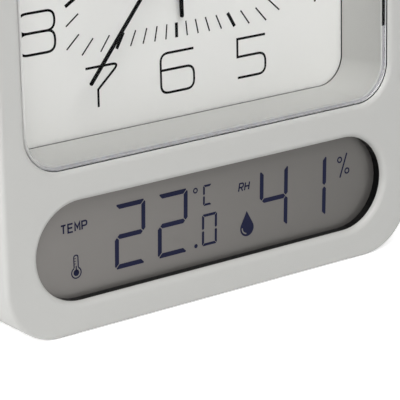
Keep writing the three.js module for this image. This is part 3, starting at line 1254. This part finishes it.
function statorPart() {
  const yEnds = [STATOR_LAYER, STATOR_LAYER + STATOR_THICKNESS];
  const { x, z } = rotorPinion;
  const limbX = x - STATOR_ARM / 2;
  const rightX = coilX + STATOR_ARM / 2;
  const yoke = join(
    rod(statorRadius, ...yEnds, x, z, ROUND_SIDES),
    block(x, rightX, ...yEnds, z - STATOR_ARM / 2, z + STATOR_ARM / 2),
    block(limbX, limbX + STATOR_ARM, ...yEnds, limbLowZ, z),
    block(limbX, rightX, ...yEnds, limbLowZ, limbLowZ + STATOR_ARM - FIT_GAP),
  );
  const opening = rod(MAGNET_RADIUS + MAGNET_GAP, yEnds[0] - PAST, yEnds[1] + PAST, x, z, ROUND_SIDES);
  return cut(yoke, opening);
}

// Wound bobbin on a flat core whose ends lie on the stator's limbs
function driveCoil() {
  const coreBack = STATOR_LAYER - SEAT_GAP;
  const coreFront = coreBack - STATOR_THICKNESS;
  const axisY = (coreFront + coreBack) / 2;
  const topZ = coilTopZ - FIT_GAP;
  const windTop = topZ - COIL_FLANGE_THICKNESS;
  const windLow = coilLowZ + COIL_FLANGE_THICKNESS;
  const flangeRadius = COIL_RADIUS + COIL_FLANGE;
  return join(
    post(COIL_RADIUS, windLow - SEAT_GAP, windTop + SEAT_GAP, coilX, axisY, ROUND_SIDES),
    post(flangeRadius, windTop, topZ, coilX, axisY, ROUND_SIDES),
    post(flangeRadius, coilLowZ, windLow, coilX, axisY, ROUND_SIDES),
    block(
      coilX - STATOR_ARM / 2, coilX + STATOR_ARM / 2, coreFront, coreBack,
      limbLowZ, rotorPinion.z + STATOR_ARM / 2,
    ),
  );
}

function clockBoard() {
  const half = CLOCK_BOARD_WIDTH / 2;
  const reach = CLOCK_BOARD_HEIGHT / 2;
  const back = CLOCK_BOARD_LAYER + BOARD_THICKNESS;
  const chip = turned([
    [0, back - SEAT_GAP], [half / 2, back - SEAT_GAP], [half / 2, back], [half / 4, back + CHIP_HEIGHT],
    [0, back + CHIP_HEIGHT],
  ]);
  return join(
    block(boardX - half, boardX + half, CLOCK_BOARD_LAYER, back, -reach, reach),
    chip.translate(boardX, 0, -reach / 2),
  );
}

function quartzCrystal() {
  const y = CLOCK_BOARD_LAYER + BOARD_THICKNESS + SEAT_GAP + CRYSTAL_RADIUS;
  return post(CRYSTAL_RADIUS, CLOCK_BOARD_HEIGHT / 4, CLOCK_BOARD_HEIGHT / 4 + CRYSTAL_LENGTH, boardX, y);
}

// Slide switch: a fixed body inside the rear wall and a slider with a ribbed thumb piece
function switchBody() {
  const back = REAR_INNER_Y - SEAT_GAP;
  const half = SWITCH_BODY_WIDTH / 2;
  const pocketHalf = half - SWITCH_BODY_WALL;
  const carriageHalf = SWITCH_STEM;
  const low = SIDE_CONTROL_Z - carriageHalf - SLIDING_GAP;
  const high = SIDE_CONTROL_Z + SWITCH_TRAVEL + carriageHalf + SLIDING_GAP;
  const floor = back - SWITCH_CARRIAGE - 2 * SLIDING_GAP;
  return cut(
    block(
      -SIDE_CONTROL_X - half, -SIDE_CONTROL_X + half, back - SWITCH_BODY_DEPTH, back,
      low - SWITCH_BODY_WALL, high + SWITCH_BODY_WALL,
    ),
    block(-SIDE_CONTROL_X - pocketHalf, -SIDE_CONTROL_X + pocketHalf, floor, back + PAST, low, high),
  );
}

function switchSlider() {
  const back = REAR_INNER_Y - SEAT_GAP - SLIDING_GAP;
  const front = back - SWITCH_CARRIAGE;
  const carriageX = SWITCH_BODY_WIDTH / 2 - SWITCH_BODY_WALL - SLIDING_GAP;
  const thumbFront = REAR_Y + SLIDING_GAP;
  const thumbBack = thumbFront + SWITCH_THUMB_RISE;
  const thumbHalf = SWITCH_THUMB_WIDTH / 2;
  const reach = SWITCH_THUMB_HEIGHT / 2;
  const stem = SWITCH_STEM / 2;
  const pitch = SWITCH_THUMB_HEIGHT / (SWITCH_THUMB_RIBS + 1);
  const grooves = Array.from({ length: SWITCH_THUMB_RIBS }, (_, i) => {
    const z = -reach + (i + 1) * pitch;
    const half = pitch / 4;
    return block(-thumbHalf - PAST, thumbHalf + PAST, thumbBack - half, thumbBack + PAST, z - half, z + half);
  });
  const slider = join(
    block(-carriageX, carriageX, front, back, -SWITCH_STEM, SWITCH_STEM),
    block(-stem, stem, back - SEAT_GAP, thumbFront + SEAT_GAP, -stem, stem),
    cut(block(-thumbHalf, thumbHalf, thumbFront, thumbBack, -reach, reach), ...grooves),
  );
  return slider.translate(-SIDE_CONTROL_X, 0, SIDE_CONTROL_Z);
}

function buzzer() {
  const back = REAR_INNER_Y - SEAT_GAP;
  const front = back - BUZZER_DEPTH;
  const can = rod(BUZZER_RADIUS, front, back, SIDE_CONTROL_X, SIDE_CONTROL_Z, ROUND_SIDES);
  const throatFront = front + BUZZER_DEPTH / 2;
  const throat = rod(BUZZER_RADIUS / 4, throatFront, back + PAST, SIDE_CONTROL_X, SIDE_CONTROL_Z);
  return cut(can, throat);
}

// Dry cell lying along X, its raised terminal towards the given side
function dryCell(side, z) {
  const half = CELL_LENGTH / 2;
  const bevel = CELL_NUB_LENGTH / 2;
  const profile = turned([
    [0, -half],
    [CELL_RADIUS - bevel, -half],
    [CELL_RADIUS, -half + bevel],
    [CELL_RADIUS, half - bevel],
    [CELL_RADIUS - bevel, half],
    [CELL_NUB_RADIUS, half],
    [CELL_NUB_RADIUS, half + CELL_NUB_LENGTH],
    [0, half + CELL_NUB_LENGTH],
  ]);
  return profile.rotateZ(-side * Math.PI / 2).translate(0, CELL_Y, z);
}

function contactPlateAt(side, z) {
  const half = CONTACT_SIZE / 2;
  const wall = side * (TROUGH_HALF - SEAT_GAP);
  const face = wall - side * CONTACT_THICKNESS;
  return block(Math.min(wall, face), Math.max(wall, face), CELL_Y - half, CELL_Y + half, z - half, z + half);
}

const contactSpringRun = TROUGH_HALF - SEAT_GAP - CONTACT_THICKNESS - CELL_LENGTH / 2 - CELL_GAP;
const contactCurve = new CoilCurve(
  contactSpringRun - CONTACT_WIRE, CONTACT_SPRING_RADIUS, CONTACT_SPRING_TIP, CONTACT_CURLS,
);

// Tapered contact spring whose widest turn is fixed to its plate
function contactSpringAt(side, z) {
  const wire = coil(contactCurve, CONTACT_WIRE).rotateY(-side * Math.PI / 2);
  const root = side * (TROUGH_HALF - SEAT_GAP - CONTACT_THICKNESS);
  return join(contactPlateAt(side, z), wire.translate(root, CELL_Y, z));
}

function caseScrew(x, z) {
  const seat = screwSeatY() + SEAT_GAP;
  const tip = seat - SCREW_LENGTH;
  const crown = SCREW_HEAD_HEIGHT / 2;
  return turned([
    [0, tip],
    [SCREW_RADIUS / 2, tip],
    [SCREW_RADIUS, tip + SCREW_RADIUS],
    [SCREW_RADIUS, seat],
    [SCREW_HEAD_RADIUS, seat],
    [SCREW_HEAD_RADIUS, seat + crown],
    [SCREW_HEAD_RADIUS - crown, seat + SCREW_HEAD_HEIGHT],
    [0, seat + SCREW_HEAD_HEIGHT],
  ], SMALL_SIDES).translate(x, 0, z);
}

// Assembly: case and display
addPart('front_housing', frontHousing(), CASE_PLASTIC);
addPart('rear_cover', rearCover(), CASE_PLASTIC);
addPart('dial_lens', dialLens(), CLEAR_ACRYLIC);
addPart('dial_plate', dialPlate(), WHITE_CARD);
addPart('display_bezel', displayBezel(), BLACK_PLASTIC);
addPart('display_glass', displayGlass(), DISPLAY_GLASS);
addPart('display_strip_upper', contactStrip(1), GREY_RUBBER);
addPart('display_strip_lower', contactStrip(-1), GREY_RUBBER);
addPart('display_board', displayBoard(), CIRCUIT_BOARD);
addPart('display_chip', displayChip(), BLACK_PLASTIC);
addPart('climate_sensor', climateSensor(), NATURAL_NYLON);
addPart('unit_switch', unitSwitch(), BLACK_PLASTIC);
addPart('unit_button', unitButton(), CASE_PLASTIC);

// Assembly: snooze bar
addPart('snooze_bar', snoozeBar(), CASE_PLASTIC);
addPart('snooze_switch', snoozeSwitch(), BLACK_PLASTIC);
addPart('snooze_spring_left', snoozeSpring(-1), STEEL);
addPart('snooze_spring_right', snoozeSpring(1), STEEL);

// Assembly: battery compartment
addPart('battery_door', batteryDoor(), CASE_PLASTIC);
addPart('cell_lower', dryCell(1, LOWER_CELL_Z), CELL_JACKET);
addPart('cell_upper', dryCell(-1, UPPER_CELL_Z), CELL_JACKET);
addPart('contact_plate_lower', contactPlateAt(1, LOWER_CELL_Z), STEEL);
addPart('contact_plate_upper', contactPlateAt(-1, UPPER_CELL_Z), STEEL);
addPart('contact_spring_lower', contactSpringAt(-1, LOWER_CELL_Z), STEEL);
addPart('contact_spring_upper', contactSpringAt(1, UPPER_CELL_Z), STEEL);

// Assembly: controls and sounder on the back
addPart('alarm_switch_body', switchBody(), BLACK_PLASTIC);
addPart('alarm_switch', switchSlider(), BLACK_PLASTIC);
addPart('buzzer', buzzer(), BLACK_PLASTIC);
bossPlaces.forEach(([x, z], i) => addPart(`case_screw_${i + 1}`, caseScrew(x, z), STEEL));

// Assembly: movement, in its own frame at the dial's centre
function addWheel(name, geometry, surface, { x, z }) {
  addPart(name, geometry, surface, movement).position.set(x, 0, z);
}

addPart('movement_base', movementBase(), BLACK_PLASTIC, movement);
addPart('movement_cover', movementCover(), BLACK_PLASTIC, movement);
addPart('stator', statorPart(), STEEL, movement);
addPart('drive_coil', driveCoil(), COPPER, movement);
addPart('clock_board', clockBoard(), CIRCUIT_BOARD, movement);
addPart('quartz_crystal', quartzCrystal(), STEEL, movement);
addWheel('rotor', rotorPart(), NATURAL_NYLON, rotorPinion);
addWheel('step_wheel', stepWheelPart(), NATURAL_NYLON, stepWheel);
addWheel('second_wheel', secondWheelPart(), NATURAL_NYLON, secondWheel);
addWheel('third_wheel', thirdWheelPart(), NATURAL_NYLON, thirdWheel);
addWheel('centre_wheel', centreWheelPart(), NATURAL_NYLON, centred);
addWheel('cannon_pinion', cannonPinion(), BRASS, centred);
addWheel('minute_work', minuteWorkPart(), NATURAL_NYLON, minuteWheel);
addWheel('hour_wheel', hourWheelPart(), NATURAL_NYLON, centred);
addWheel('alarm_wheel', alarmWheelPart(), NATURAL_NYLON, centred);
addWheel('time_set_gear', setGearPart(timeSet, CANNON_LAYER, PINION_THICKNESS), NATURAL_NYLON, timeSet);
addWheel('alarm_set_gear', setGearPart(alarmSet, ALARM_LAYER, WHEEL_THICKNESS), NATURAL_NYLON, alarmSet);
addWheel('time_set_knob', settingKnob(), BLACK_PLASTIC, timeSet);
addWheel('alarm_set_knob', settingKnob(), BLACK_PLASTIC, alarmSet);

// Assembly: hands, turned clockwise from twelve
const hands = new THREE.Group();
hands.position.set(0, DIAL_Y, DIAL_Z);
group.add(hands);

function addHand(name, geometry, degrees) {
  addPart(name, geometry, BLACK_PAINT, hands).rotation.y = THREE.MathUtils.degToRad(degrees);
}

function hubbedHand(length, width, tubeRadius, top) {
  const bore = tubeRadius + PRESS_GAP;
  return hand(length, width, 0, bore, bore + HUB_MARGIN, top);
}

const alarmHand = hubbedHand(ALARM_HAND_LENGTH, ALARM_HAND_WIDTH, ALARM_RADIUS, ALARM_HAND_TOP);
const hourHand = hubbedHand(HOUR_HAND_LENGTH, HOUR_HAND_WIDTH, HOUR_RADIUS, HOUR_HAND_TOP);
const minuteHand = hubbedHand(MINUTE_HAND_LENGTH, MINUTE_HAND_WIDTH, CANNON_RADIUS, MINUTE_HAND_TOP);
addHand('alarm_hand', alarmHand, ALARM_HAND_ANGLE);
addHand('hour_hand', hourHand, HOUR_HAND_ANGLE);
addHand('minute_hand', minuteHand, MINUTE_HAND_ANGLE);
addHand('second_hand', secondHand(), SECOND_HAND_ANGLE);

console.log(`snooze spring: least gap between turns ${coilGap(snoozeCurve, SPRING_WIRE).toFixed(2)} mm`);
console.log(`contact spring: least gap between turns ${coilGap(contactCurve, CONTACT_WIRE).toFixed(2)} mm`);

export default group;
